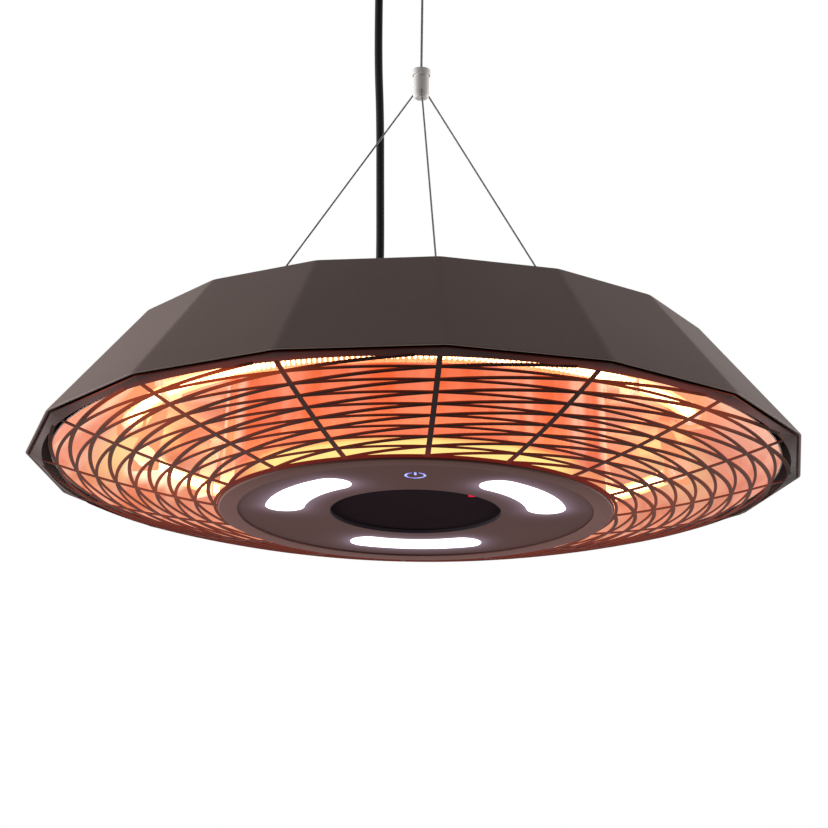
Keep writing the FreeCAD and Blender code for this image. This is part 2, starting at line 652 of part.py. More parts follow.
def route(points):
    edges, at, radii, length = [], points[0], [], 0.0
    for a, b, c in zip(points, points[1:], points[2:]):
        u, v = (b - a), (c - b)
        cut = 0.45 * min(u.Length, v.Length)
        u.normalize()
        v.normalize()
        turn = u.getAngle(v)
        radius = cut / math.tan(turn / 2)
        p, q = b - u * cut, b + v * cut
        inward = (v - u).normalize()
        middle = b + inward * (radius / math.cos(turn / 2) - radius)
        edges.append(Part.makeLine(at, p))
        edges.append(Part.Arc(p, middle, q).toShape())
        at = q
        radii.append(radius)
    edges.append(Part.makeLine(at, points[-1]))
    return Part.Wire(edges), radii, sum(e.Length for e in edges)


path, radii, cord_len = route(cord_points)
cord = path.makePipeShell([Part.Wire([Part.makeCircle(cord_r, cord_points[0], UP)])], True, False)
print("cord radii", [round(r) for r in radii], "length", round(cord_len, 1),
      "volume share", round(cord.Volume / (math.pi * cord_r ** 2 * cord_len), 4))

keep("ceiling_plate", plate)
keep("swivel_fork", fork)
keep("swing_pin", pin)
keep("pin_clip", clip)
keep("main_eye", main_eye)
keep("main_wire", main_wire)
keep("canopy_cup", cup)
keep("canopy_collar", collar)
keep("canopy_bushing", bush)
keep("canopy_bushing_nut", bush_nut)
keep("canopy_terminals", cup_terminal)
keep("power_cord", cord)
keep("coupler_cap", coupler_cap)
keep("coupler_body", coupler)
keep("wire_stop", stop)
for name, azimuth in leg_azimuths.items():
    keep("leg_wire_" + name, spun(leg_wire, azimuth))
    keep("leg_bush_" + name, spun(leg_bush, azimuth))
    keep("leg_stop_" + name, spun(leg_stop, azimuth))
keep("shade", shade)
keep("support_plate", support)
keep("cord_gland", gland)
keep("cord_gland_nut", gland_nut)
keep("junction_box", box)
keep("cord_terminals", terminal)
keep("heat_shield", shield)
keep("upper_spacers", upper)
keep("lower_spacers", lower)
keep("reflector_dish", dish)
keep("reflector_skirt", skirt)
for name in tube_names:
    keep("element_tube_" + name, tubes[name])
    keep("element_coil_" + name, filaments[name])
keep("element_ends", ends)
keep("element_holders", holders)
keep("element_clips", clips)
keep("guard", guard)
keep("lamp_tub", tub)
keep("control_board", control)
keep("lamp_driver", driver)
keep("lamp_trim_ring", spun(trim, lamp_clock))
keep("lamp_face", spun(face, lamp_clock))
for name in led_names:
    keep("led_window_" + name, spun(diffusers[name], lamp_clock))
keep("led_board", spun(board, lamp_clock))
keep("touch_icon", spun(icon, lamp_clock))
keep("touch_board", spun(touch_board, lamp_clock))
keep("window_well", spun(well, lamp_clock))
keep("centre_window", spun(window, lamp_clock))
keep("indicator", spun(indicator, lamp_clock))

for name, shape in nodes:
    shape.translate(Vector(0, 0, -ceiling_h))
    bad = [s for s in shape.Solids if not s.isValid()]
    print(name, len(shape.Solids), round(shape.Volume), "INVALID" if bad else "ok")
    shape.exportStep("parts/" + name + ".step")
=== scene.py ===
import math
import bmesh
import bpy
import numpy as np
from mathutils import Matrix, Vector


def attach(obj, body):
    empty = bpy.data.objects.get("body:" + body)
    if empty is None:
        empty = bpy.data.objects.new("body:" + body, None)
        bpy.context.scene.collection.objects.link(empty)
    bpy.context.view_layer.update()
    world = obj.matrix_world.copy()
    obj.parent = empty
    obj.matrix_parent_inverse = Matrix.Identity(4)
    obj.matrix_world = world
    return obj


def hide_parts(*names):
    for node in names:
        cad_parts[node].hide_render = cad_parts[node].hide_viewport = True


# Hanging patio heater. The object's frame is in metres with the ceiling at Z = 0 and the front towards -Y.
# Sizes below are in millimetres, with heights over the shade's lower edge, as a maker would measure them.
# The finishes read the object's own coordinates, so the reach of a glow in them is in metres.
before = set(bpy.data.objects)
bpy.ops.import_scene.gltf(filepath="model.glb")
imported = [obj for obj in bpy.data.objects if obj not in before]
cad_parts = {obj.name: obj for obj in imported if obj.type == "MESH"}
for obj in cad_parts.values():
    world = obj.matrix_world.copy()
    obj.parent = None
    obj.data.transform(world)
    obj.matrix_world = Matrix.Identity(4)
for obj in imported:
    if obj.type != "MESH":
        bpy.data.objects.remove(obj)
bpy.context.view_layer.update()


# Ceiling plate and swivel fork: satin stainless steel, turned and milled. The plate is screwed to the
# ceiling, and the fork's headed stud hangs in it. A cross pin with a spring clip carries the main wire.
class Value:
    """A shader value. Each operator adds one Math node beside the node that it comes from."""

    def __init__(self, nodes, socket):
        self.nodes = nodes
        self.socket = socket

    def math(self, operation, *others):
        inputs = dict(enumerate((self,) + others))
        return self.nodes.node("ShaderNodeMath", {"operation": operation}, inputs)

    def __add__(self, other):
        return self.math("ADD", other)

    def __sub__(self, other):
        return self.math("SUBTRACT", other)

    def __rsub__(self, other):
        return -self + other

    def __mul__(self, other):
        return self.math("MULTIPLY", other)

    def __truediv__(self, other):
        return self.math("DIVIDE", other)

    def __pow__(self, other):
        return self.math("POWER", other)

    def __neg__(self):
        return self.math("MULTIPLY", -1.0)

    def __abs__(self):
        return self.math("ABSOLUTE")

    __radd__ = __add__
    __rmul__ = __mul__

    def step(self, low, high):
        """0 below low, 1 above high, and a smooth rise between them."""
        settings = {"interpolation_type": "SMOOTHSTEP"}
        return self.nodes.node("ShaderNodeMapRange", settings, {0: self, 1: low, 2: high})


class Nodes:
    """The nodes of one material or world: links for what varies, values on the sockets for the rest."""

    def __init__(self, tree):
        self.tree = tree

    def put(self, socket, value):
        if isinstance(value, Value):
            self.tree.links.new(value.socket, socket)
        elif socket.type == "RGBA":
            socket.default_value = (*value, 1.0)
        else:
            socket.default_value = value

    def node(self, kind, settings, inputs, out=0):
        made = self.tree.nodes.new(kind)
        for key, value in settings.items():
            setattr(made, key, value)
        for key, value in inputs.items():
            self.put(made.inputs[key], value)
        return Value(self, made.outputs[out])


class Finish(Nodes):
    """One material round a Principled shader, with patterns on the object's own coordinates."""

    def __init__(self, name, **plain):
        self.material = bpy.data.materials.new(name)
        self.material.use_nodes = True
        super().__init__(self.material.node_tree)
        self.shader = self.tree.nodes["Principled BSDF"]
        self.feed(**plain)

    def feed(self, **sockets):
        for key, value in sockets.items():
            self.put(self.shader.inputs[key.replace("_", " ")], value)

    def fed(self, name):
        return Value(self, self.shader.inputs[name].links[0].from_socket)

    def place(self):
        return self.node("ShaderNodeTexCoord", {}, {}, out="Object")

    def xyz(self):
        place = self.place()
        return [self.node("ShaderNodeSeparateXYZ", {}, {0: place}, out=axis) for axis in range(3)]

    def vector(self, x, y, z):
        return self.node("ShaderNodeCombineXYZ", {}, {0: x, 1: y, 2: z})

    def noise(self, scale, detail, rough=0.5, at=None):
        inputs = {"Vector": at or self.place(), "Scale": scale, "Detail": detail, "Roughness": rough}
        return self.node("ShaderNodeTexNoise", {}, inputs)

    def mix(self, low, high, share):
        return self.node("ShaderNodeMix", {"data_type": "RGBA"}, {0: share, 6: low, 7: high}, out=2)

    def vary(self, low, high, share, rough, spread):
        """Base colour from low to high, and roughness from rough up by spread, both by the same share."""
        self.feed(Base_Color=self.mix(low, high, share), Roughness=share * spread + rough)

    def bump(self, height, strength, depth):
        inputs = {"Height": height, "Strength": strength, "Distance": depth}
        self.feed(Normal=self.node("ShaderNodeBump", {}, inputs))


def dress(finish, *nodes):
    """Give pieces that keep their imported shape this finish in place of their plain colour."""
    for name in nodes:
        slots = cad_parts[name].data.materials
        slots.clear()
        slots.append(finish.material)


steel = Finish("satin_steel", Metallic=1.0)
grain = steel.noise(scale=900.0, detail=4.0)
smear = steel.noise(scale=45.0, detail=3.0)
steel.feed(Base_Color=steel.mix((0.52, 0.51, 0.50), (0.66, 0.65, 0.63), smear))
steel.feed(Roughness=grain * 0.18 + 0.24)
steel.bump(grain, strength=0.08, depth=0.0002)
dress(steel, "ceiling_plate", "swivel_fork", "swing_pin", "pin_clip", "main_eye", "wire_stop")


# Main wire: stainless wire rope of six strands, taut from the swaged eye on the swing pin down into the
# coupler. Each strand is a thin tube on a helix round the rope's middle line.
rim_level = -480.0
main_wire_foot, main_wire_head, main_wire_r, main_wire_lay = 317.0, 446.0, 1.0, 13.0
strands, strand_share, strand_sides, steps_per_lay = 6, 0.36, 6, 12


def grid_quads(n_u, n_v, close_u=False, close_v=False):
    """Quads of an n_u by n_v grid of points numbered row by row, joined end to end where it is closed."""
    u = np.arange(n_u if close_u else n_u - 1)[:, None]
    v = np.arange(n_v if close_v else n_v - 1)[None, :]
    u2, v2 = (u + 1) % n_u, (v + 1) % n_v
    quads = np.stack([u * n_v + v, u2 * n_v + v, u2 * n_v + v2, u * n_v + v2], -1)
    return quads.reshape(-1, 4)


def piece(name, parts, finishes, stands_for, smooth=True):
    """One object at the origin from (points in mm, quads) parts, welded where they meet, faces outward."""
    if isinstance(finishes, Finish):
        finishes = [finishes] * len(parts)
    used = list(dict.fromkeys(finishes))
    points, faces, share, count = [], [], [], 0
    for (verts, quads), finish in zip(parts, finishes):
        verts = verts.reshape(-1, 3)
        points.append((verts + (0.0, 0.0, rim_level)) / 1000.0)
        faces.append(quads + count)
        share.append(np.full(len(quads), used.index(finish)))
        count += len(verts)
    mesh = bpy.data.meshes.new(name)
    mesh.from_pydata(np.concatenate(points).tolist(), [], np.concatenate(faces).tolist())
    mesh.polygons.foreach_set("material_index", np.concatenate(share))
    welded = bmesh.new()
    welded.from_mesh(mesh)
    bmesh.ops.remove_doubles(welded, verts=welded.verts, dist=1e-7)
    bmesh.ops.recalc_face_normals(welded, faces=welded.faces)
    welded.to_mesh(mesh)
    welded.free()
    mesh.polygons.foreach_set("use_smooth", np.full(len(mesh.polygons), smooth))
    made = bpy.data.objects.new(name, mesh)
    bpy.context.scene.collection.objects.link(made)
    for finish in used:
        mesh.materials.append(finish.material)
    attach(made, "heater")
    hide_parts(stands_for)


def square_to(along):
    """Two unit directions square to each given one, by cross products with a line that no path follows."""
    aside = np.cross(along, (0.0, 1.0, 0.13))
    aside /= np.linalg.norm(aside, axis=-1, keepdims=True)
    return aside, np.cross(along, aside)


def tube(path, radius, sides):
    """Round tube: circles of the given radius, square to an open path, with its ends closed to a point."""
    along = np.gradient(path, axis=0)
    along /= np.linalg.norm(along, axis=-1, keepdims=True)
    aside, third = square_to(along)
    turn = np.linspace(0, 2 * np.pi, sides, endpoint=False)[None, :, None]
    circles = path[:, None] + radius * (np.cos(turn) * aside[:, None] + np.sin(turn) * third[:, None])
    ends = np.repeat(path[[0, -1], None], sides, 1)
    points = np.concatenate([ends[:1], circles, ends[1:]])
    return points, grid_quads(len(points), sides, close_v=True)


def rope(start, end, radius, lay):
    """Wire rope: strands on helices of one lay length round the line from start to end."""
    span = np.linalg.norm(end - start)
    along = (end - start) / span
    aside, third = square_to(along)
    strand_r = radius * strand_share
    s = np.linspace(0, span, int(span / lay * steps_per_lay) + 2)[:, None]
    parts = []
    for k in range(strands):
        turn = 2 * np.pi * (s / lay + k / strands)
        path = start + along * s + (radius - strand_r) * (np.cos(turn) * aside + np.sin(turn) * third)
        parts.append(tube(path, strand_r, strand_sides))
    return parts


wire = Finish("wire_rope", Metallic=1.0)
tarnish = wire.noise(scale=60.0, detail=4.0)
wire.vary((0.07, 0.068, 0.066), (0.17, 0.165, 0.16), tarnish, rough=0.42, spread=0.2)
up = np.array([0.0, 0.0, 1.0])
main_rope = rope(up * main_wire_foot, up * main_wire_head, main_wire_r, main_wire_lay)
piece("main_wire_rope", main_rope, wire, "main_wire")


# Canopy: a deep-drawn sheet cup that hides the ceiling fitting, powder coated in the shade's brown. A
# collar clamps it on the main wire, and the cord enters it through a black bushing.
def powder_coat(name, colour, fade, gloss):
    """Textured powder coat: fine orange-peel bump, a slow drift of colour and a satin, uneven gloss."""
    coat = Finish(name, Specular_IOR_Level=gloss)
    peel = coat.noise(scale=1500.0, detail=2.0)
    drift = coat.noise(scale=9.0, detail=3.0)
    speck = coat.noise(scale=420.0, detail=2.0).step(0.62, 0.78)
    tone = coat.mix(colour, tuple(c * fade for c in colour), drift)
    coat.feed(Base_Color=coat.mix(tone, tuple(c * 1.5 for c in colour), speck * 0.35))
    coat.feed(Roughness=peel * 0.16 + drift * 0.08 + 0.46)
    coat.bump(peel, strength=0.12, depth=0.0003)
    return coat


brown = powder_coat("brown_powder_coat", (0.075, 0.057, 0.053), fade=0.84, gloss=0.1)
dress(brown, "canopy_cup", "canopy_collar")
black_plastic = Finish("black_moulded_plastic", Specular_IOR_Level=0.4)
pebble = black_plastic.noise(scale=700.0, detail=2.0)
black_plastic.vary((0.012, 0.012, 0.012), (0.026, 0.025, 0.024), pebble, rough=0.4, spread=0.2)
black_plastic.bump(pebble, strength=0.15, depth=0.0003)
dress(black_plastic, "canopy_bushing", "canopy_bushing_nut", "cord_gland", "cord_gland_nut", "junction_box",
      "leg_bush_front", "leg_bush_right", "leg_bush_left", "lamp_driver")
pale_plastic = Finish("pale_moulded_plastic")
cloud = pale_plastic.noise(scale=60.0, detail=3.0)
pale_plastic.vary((0.60, 0.58, 0.52), (0.72, 0.70, 0.65), cloud, rough=0.4, spread=0.2)
dress(pale_plastic, "canopy_terminals", "cord_terminals")


# Power cord: a round black rubber-sheathed mains cord, hanging taut beside the main wire from the canopy's
# terminals, through the gland on the shade, to the junction box.
rubber = Finish("black_rubber_sheath", Specular_IOR_Level=0.08)
scuff = rubber.noise(scale=120.0, detail=4.0)
matt = rubber.noise(scale=900.0, detail=2.0)
rubber.vary((0.005, 0.005, 0.005), (0.012, 0.012, 0.012), scuff, rough=0.5, spread=0.2)
rubber.bump(matt, strength=0.1, depth=0.0002)
cord_d = 6.5
cord_route = [(-30.0, 26.0, 78.0), (-30.0, 26.0, 122.0), (-29.1, 26.3, 178.0), (-30.2, 26.5, 240.0),
              (-31.2, 26.3, 300.0), (-33.6, 26.1, 348.0), (-34.0, 26.0, 409.0), (-34.0, 26.0, 437.0)]
cord_line = bpy.data.curves.new("mains_cord", "CURVE")
cord_line.dimensions = "3D"
spline = cord_line.splines.new("NURBS")
spline.points.add(len(cord_route) - 1)
for point, (x, y, z) in zip(spline.points, cord_route):
    point.co = (x / 1000, y / 1000, (z + rim_level) / 1000, 1.0)
spline.order_u = 3
spline.use_endpoint_u = True
spline.resolution_u = 16
cord_line.bevel_depth = cord_d / 2000
cord_line.bevel_resolution = 6
cord_line.use_fill_caps = True
cord = bpy.data.objects.new("mains_cord", cord_line)
bpy.context.scene.collection.objects.link(cord)
cord_line.materials.append(rubber.material)
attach(cord, "heater")
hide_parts("power_cord")


# Coupler: a small turned steel body with a flanged cap on the main wire, blasted to a pale satin. The three
# leg wires go into slanting holes in its lower end.
def turned(profile, sides):
    """Turned surface: a profile of (radius, height) carried round the axis as whole circles."""
    turn = np.linspace(0, 2 * np.pi, sides, endpoint=False)
    r, z = profile[:, :1], profile[:, 1:]
    points = np.stack([r * np.sin(turn), -r * np.cos(turn), z + 0 * turn], -1)
    return points, grid_quads(len(profile), sides, close_v=True)


def bend(p, corner, q, share):
    """Quadratic curve from p to q that leaves and arrives along the lines to the corner."""
    return (1 - share) ** 2 * p + 2 * share * (1 - share) * corner + share ** 2 * q


def eased(profile, radius, steps=4):
    """A profile whose inner corners are rounded by short bends, cut back by radius or 0.45 of a side."""
    profile = np.array(profile, float)
    rows = [profile[0]]
    share = np.linspace(0, 1, steps + 1)[:, None]
    for before, corner, after in zip(profile, profile[1:], profile[2:]):
        cuts = []
        for side in (before - corner, after - corner):
            span = np.linalg.norm(side)
            cuts.append(corner + side * (min(radius, 0.45 * span) / span))
        rows.extend(bend(cuts[0], corner, cuts[1], share))
    rows.append(profile[-1])
    return np.array(rows)


coupler_ease, coupler_sides = 0.5, 96
coupler_body = eased([(0, 305.5), (4.6, 305.5), (6.4, 307.3), (6.4, 323.6), (5.6, 324.0), (0, 324.0)],
                     coupler_ease)
coupler_cap = eased([(0, 324.0), (5.7, 324.0), (5.7, 325.2), (7.4, 325.2), (7.4, 330.0), (6.6, 330.5),
                     (0, 330.5)], coupler_ease)
bright = Finish("turned_bright_steel", Metallic=0.2)
rings = bright.noise(scale=2600.0, detail=3.0, at=bright.vector(0.0, 0.0, bright.xyz()[2]))
bright.vary((0.29, 0.275, 0.26), (0.33, 0.315, 0.30), rings, rough=0.55, spread=0.12)
bright.bump(rings, strength=0.04, depth=0.0002)
piece("coupler_lower", [turned(coupler_body, coupler_sides)], bright, "coupler_body")
piece("coupler_upper", [turned(coupler_cap, coupler_sides)], bright, "coupler_cap")


# Leg wires: three thin wire ropes from the coupler through bushed holes in the shade's top, each held by
# a swaged stop under the support plate.
leg_wire_r, leg_wire_lay, leg_past = 0.75, 9.0, 17.0
leg_head_r, leg_head_z, leg_foot_r, shade_top_z = 3.6, 313.5, 198.0, 90.0


def polar(r, azimuth, z):
    """Points at radius r and height z, with the azimuth in degrees from the front towards the right."""
    a = np.radians(azimuth)
    return np.stack(np.broadcast_arrays(r * np.sin(a), -r * np.cos(a), z), -1)


for side, azimuth in (("front", 0.0), ("right", 120.0), ("left", 240.0)):
    head, foot = polar(leg_head_r, azimuth, leg_head_z), polar(leg_foot_r, azimuth, shade_top_z)
    end = foot + (foot - head) / np.linalg.norm(foot - head) * leg_past
    piece("leg_rope_" + side, rope(head, end, leg_wire_r, leg_wire_lay), wire, "leg_wire_" + side)
dress(steel, "leg_stop_front", "leg_stop_right", "leg_stop_left")


# Shade: one folded sheet-metal cone of sixteen flat sides with a closed top and a turned-in hem, powder
# coated dark brown. The bends between the sides have a small radius.
facets, fold_cut, fold_steps, hem_ease = 16, 0.0312, 5, 1.6


def folded(profile):
    """Folded sheet: a profile of (corner radius, height) carried round sixteen sides with bends between."""
    corner = polar(1.0, np.arange(facets) * 360.0 / facets, 0.0)[:, :2]
    before, after = np.roll(corner, 1, 0), np.roll(corner, -1, 0)
    share = np.linspace(0, 1, fold_steps)[:, None, None]
    arcs = bend(corner + (before - corner) * fold_cut, corner, corner + (after - corner) * fold_cut, share)
    ring = arcs.transpose(1, 0, 2).reshape(-1, 2)
    points = np.empty((len(profile), len(ring), 3))
    points[..., :2] = profile[:, None, :1] * ring[None]
    points[..., 2] = profile[:, 1:]
    return points, grid_quads(len(profile), len(ring), close_v=True)


shade_profile = eased([(0, 88.8), (222.5, 88.8), (297.4, 1.3), (297.2, 0.0), (300.0, 0.0),
                       (224.0, shade_top_z), (0, shade_top_z)], hem_ease)
shade_coat = powder_coat("shade_powder_coat", (0.086, 0.058, 0.051), fade=0.82, gloss=0.1)
piece("folded_shade", [folded(shade_profile)], shade_coat, "shade")


# Support plate, heat shield and spacers inside the shade: zinc-plated sheet with the plating's faint
# spangle, under the shade's top, with the lamp tub and its circuit boards hanging on its posts.
zinc = Finish("zinc_plated_sheet", Metallic=1.0)
spangle = zinc.node("ShaderNodeTexVoronoi", {}, {"Vector": zinc.place(), "Scale": 120.0}, out="Color")
zinc.vary((0.36, 0.36, 0.36), (0.50, 0.50, 0.49), spangle, rough=0.3, spread=0.2)
dress(zinc, "support_plate", "heat_shield", "upper_spacers", "lower_spacers", "lamp_tub")
board = Finish("circuit_board")
copper = board.noise(scale=160.0, detail=2.0).step(0.5, 0.55)
board.vary((0.012, 0.070, 0.028), (0.020, 0.120, 0.050), copper, rough=0.3, spread=0.1)
dress(board, "control_board", "led_board", "touch_board")


# Reflector: polished aluminium, a spun dish over the elements and a folded skirt round the lamp tub. The
# elements' orange glow on it, in streaks and blotches and brightest low on the skirt, is painted
# reflection, and its base colour is tinted orange by that painted light.
def length(*parts):
    """Length of a shader vector: the root of the sum of its parts' squares."""
    total = parts[0] * parts[0]
    for part in parts[1:]:
        total = total + part * part
    return total ** 0.5


def mirror_with_painted_glow(name, low, high, pale_reflection, pale_reflection_share, power):
    """Polished sheet with painted glow of the elements: soft streaks round the axis, blotches, pale painted
    reflections on the flanks, and an orange base colour as painted light.
    """
    sheet = Finish(name, Metallic=1.0, Emission_Strength=power)
    x, y, z = sheet.xyz()
    r = length(x, y)
    round_axis = sheet.vector(x / r * 7.0, y / r * 7.0, z * 3.0)
    streak = sheet.noise(scale=1.0, detail=3.0, rough=0.6, at=round_axis)
    blotch = sheet.noise(scale=26.0, detail=4.0, rough=0.6)
    tone = streak * 0.62 + blotch * 0.38
    painted_glow = sheet.mix(low, high, tone.step(0.36, 0.64))
    # Painted reflection: pale patches where this pattern is high, more of them on the flanks.
    shine = sheet.noise(scale=1.0, detail=2.0, at=sheet.vector(x / r * 4.5, y / r * 4.5, z * 2.0))
    painted_flank_light = (abs(x) / r).step(0.15, 0.75)
    sheet.vary((0.20, 0.08, 0.05), (0.30, 0.14, 0.09), blotch, rough=0.16, spread=0.16)
    sheet.bump(blotch, strength=0.15, depth=0.004)
    return sheet, sheet.mix(painted_glow, pale_reflection, shine.step(0.42, 0.72) * (painted_flank_light * 0.75 + pale_reflection_share)), (x, y, z)


back_metal = Finish("reflector_back", Metallic=1.0)
soot = back_metal.noise(scale=40.0, detail=4.0)
back_metal.vary((0.16, 0.14, 0.13), (0.30, 0.28, 0.26), soot, rough=0.4, spread=0.2)

pale_orange_reflection, dish_sides, sheet_ease = (0.95, 0.55, 0.36), 192, 0.4
dish_metal, dish_painted_glow, dish_at = mirror_with_painted_glow(
    "dish_mirror", (0.84, 0.20, 0.085), (0.84, 0.31, 0.19), pale_orange_reflection, pale_reflection_share=0.2, power=0.84)
gold, cream = (1.05, 0.80, 0.32), (1.45, 1.20, 0.80)
# Painted reflections of the rear tube on the dish's wall above its ends: broad gold glows and small cream
# spots.
for azimuth, spot_r, spot_z, near, far, colour, share in (
        (-112.0, 234.0, 40.0, 12.0, 62.0, gold, 0.9), (114.0, 234.0, 40.0, 12.0, 62.0, gold, 0.6),
        (-118.5, 247.0, 28.0, 6.0, 19.0, cream, 1.0), (-122.5, 248.0, 27.5, 6.0, 19.0, cream, 1.0),
        (-127.0, 249.0, 26.5, 5.0, 17.0, cream, 1.0), (-131.5, 249.0, 26.5, 4.0, 15.0, cream, 1.0)):
    reflection_spot = polar(spot_r, azimuth, rim_level + spot_z)
    away = length(*[axis * 1000.0 - middle for axis, middle in zip(dish_at, reflection_spot)])
    dish_painted_glow = dish_metal.mix(dish_painted_glow, colour, (1.0 - away.step(near, far)) * share)
# Painted shade: the dish's glow is duller on the right.
painted_shade_right = dish_at[0].step(0.16, 0.25)
dish_metal.feed(Emission_Color=dish_metal.mix(dish_painted_glow, (0.60, 0.25, 0.20), painted_shade_right * 0.35))
dish_inside = eased([(147.3, 57.2), (215.7, 57.2), (278.8, -1.0)], 1.2)
dish_back = eased([(278.8, -1.0), (280.0, -1.0), (216.0, 58.0), (147.3, 58.0), (147.3, 57.2)], sheet_ease)
piece("reflector_bowl", [turned(dish_inside, dish_sides), turned(dish_back, dish_sides)],
      [dish_metal, back_metal], "reflector_dish")

skirt_metal, skirt_painted_glow, skirt_at = mirror_with_painted_glow(
    "skirt_mirror", (0.74, 0.115, 0.035), (0.76, 0.19, 0.095), (0.94, 0.52, 0.36), pale_reflection_share=0.4,
    power=0.92)
across, height = skirt_at[0], skirt_at[2] * 1000.0 - rim_level
# Painted reflection of the front tube: a yellow to orange band low on the skirt, fading towards its ends,
# with the painted glow darker red above it.
dim_top, reflection_top, reflection_edge, yellow_top, orange_top = 0.0, -21.0, 2.6, -26.0, -20.0
painted_dimming = 1.0 - height.step(reflection_top, dim_top)
skirt_painted_glow = skirt_metal.mix(skirt_painted_glow, (0.60, 0.13, 0.085), painted_dimming * 0.75)
reflection_colour = skirt_metal.mix((1.06, 0.88, 0.30), (1.0, 0.60, 0.16), height.step(yellow_top, orange_top))
reflection_end = (abs(across) + across * 0.07).step(0.098, 0.128)
reflection_band = (1.0 - height.step(reflection_top - reflection_edge, reflection_top + reflection_edge)) * (1.0 - reflection_end * 0.8)
skirt_metal.feed(Emission_Color=skirt_metal.mix(skirt_painted_glow, reflection_colour, reflection_band))
skirt_outside = eased([(150.1, -34.0), (150.9, -34.0), (147.1, 57.2), (147.1, 58.0), (154.6, 58.0)],
                      sheet_ease)
skirt_inside = eased([(154.6, 58.0), (154.6, 58.8), (146.3, 58.8), (146.3, 57.2), (150.1, -34.0)],
                     sheet_ease)
piece("reflector_collar", [folded(skirt_outside), folded(skirt_inside)], [skirt_metal, back_metal],
      "reflector_skirt", smooth=False)


# Heating elements: two bent quartz tubes, each with a coil of glowing resistance wire in it, in white
# ceramic ends on holders of the reflector's sheet, with ceramic clips between.
element_r, element_z, element_half = 220.0, 18.5, 73.0
tube_r, coil_r, coil_wire_r, coil_pitch = 6.0, 3.0, 0.75, 4.0
tube_rows, tube_sides, rows_per_turn, coil_sides = 129, 24, 10, 6
# The holders carry the same painted glow and painted reflections as the dish.
holder_metal, holder_painted_glow = mirror_with_painted_glow(
    "holder_mirror", (0.90, 0.37, 0.16), (0.92, 0.44, 0.25), pale_orange_reflection, pale_reflection_share=0.2, power=0.84)[:2]
holder_metal.feed(Emission_Color=holder_painted_glow)
dress(holder_metal, "element_holders")
# Painted glow: the quartz glass itself emits, dim red in the middle and orange towards the flanks.
quartz = Finish("glowing_quartz", Emission_Strength=2.2, Roughness=0.06, Alpha=0.3)
haze = quartz.noise(scale=70.0, detail=3.0)
quartz.feed(Base_Color=quartz.mix((0.9, 0.45, 0.25), (1.0, 0.6, 0.35), haze))
painted_flank_light = abs(quartz.xyz()[0]).step(0.09, 0.18)
quartz_painted_glow = quartz.mix((1.0, 0.42, 0.12), (1.0, 0.58, 0.22), haze)
quartz.feed(Emission_Color=quartz.mix((0.30, 0.07, 0.03), quartz_painted_glow, painted_flank_light))
coil = Finish("glowing_coil", Base_Color=(0.3, 0.1, 0.04), Emission_Strength=7.0, Roughness=0.5)
heat = coil.noise(scale=30.0, detail=3.0)
coil.feed(Emission_Color=coil.mix((1.0, 0.50, 0.16), (1.0, 0.78, 0.45), heat))
coil_turns = np.radians(2 * element_half) * element_r / coil_pitch
for side, middle in (("front", -9.0), ("rear", 179.0)):
    az = np.linspace(middle - element_half, middle + element_half, tube_rows)
    glass = tube(polar(element_r, az, element_z), tube_r, tube_sides)
    piece("quartz_" + side, [glass], quartz, "element_tube_" + side)
    t = np.linspace(0, 1, int(coil_turns * rows_per_turn))
    az = middle + element_half * (2 * t - 1)
    swing = 2 * np.pi * coil_turns * t
    helix = polar(element_r + coil_r * np.cos(swing), az, element_z + coil_r * np.sin(swing))
    turns = tube(helix, coil_wire_r, coil_sides)
    piece("coil_" + side, [turns], coil, "element_coil_" + side)
# Painted glow: the ceramic ends and clips emit orange, with a painted white-hot spot at the rear tube's
# left end.
ceramic = Finish("white_ceramic", Emission_Strength=0.6)
glaze = ceramic.noise(scale=90.0, detail=3.0)
ceramic.vary((0.74, 0.70, 0.62), (0.84, 0.81, 0.75), glaze, rough=0.35, spread=0.2)
x, y = ceramic.xyz()[:2]
painted_white_spot = (-x).step(0.17, 0.20) * y.step(0.02, 0.05)
ceramic_painted_glow = ceramic.mix((0.80, 0.28, 0.13), (0.92, 0.44, 0.24), glaze)
ceramic.feed(Emission_Color=ceramic.mix(ceramic_painted_glow, (1.7, 1.2, 0.65), painted_white_spot))
dress(ceramic, "element_ends", "element_clips")


# Guard: one domed sheet, cut into sixteen spokes and nine hoops, with strips that slant from each hoop out
# to the next along the way from spoke to spoke, inside a plain band that follows the shade's edge.
dome_r, band_r, band_z, guard_r, lamp_r = 945.0, 286.0, -4.7, 295.8, 151.0
guard_wall, guard_soft = 1.0, 0.25
hoops, hoop_top, hoop_step, hoop_w, slant_w, slant_rise = 9, 274.2, 15.08, 2.4, 3.1, 0.01
spoke_w, spoke_inner, spoke_drop, band_lap, guard_clock = 4.0, 146.0, 0.02, 1.0, -0.7
inner_hoop_r, inner_hoop_w = 148.0, 8.0
hoop_rows, slant_rows, spoke_rows = 384, 110, 40
dome_z = band_z + math.sqrt(dome_r ** 2 - band_r ** 2)
spoke_step = 360.0 / facets


def dome(r):
    """Height of the guard's lower face: a bowl of radius dome_r, level under the lamp unit's edge."""
    return dome_z - np.sqrt(dome_r ** 2 - np.maximum(r, lamp_r) ** 2)


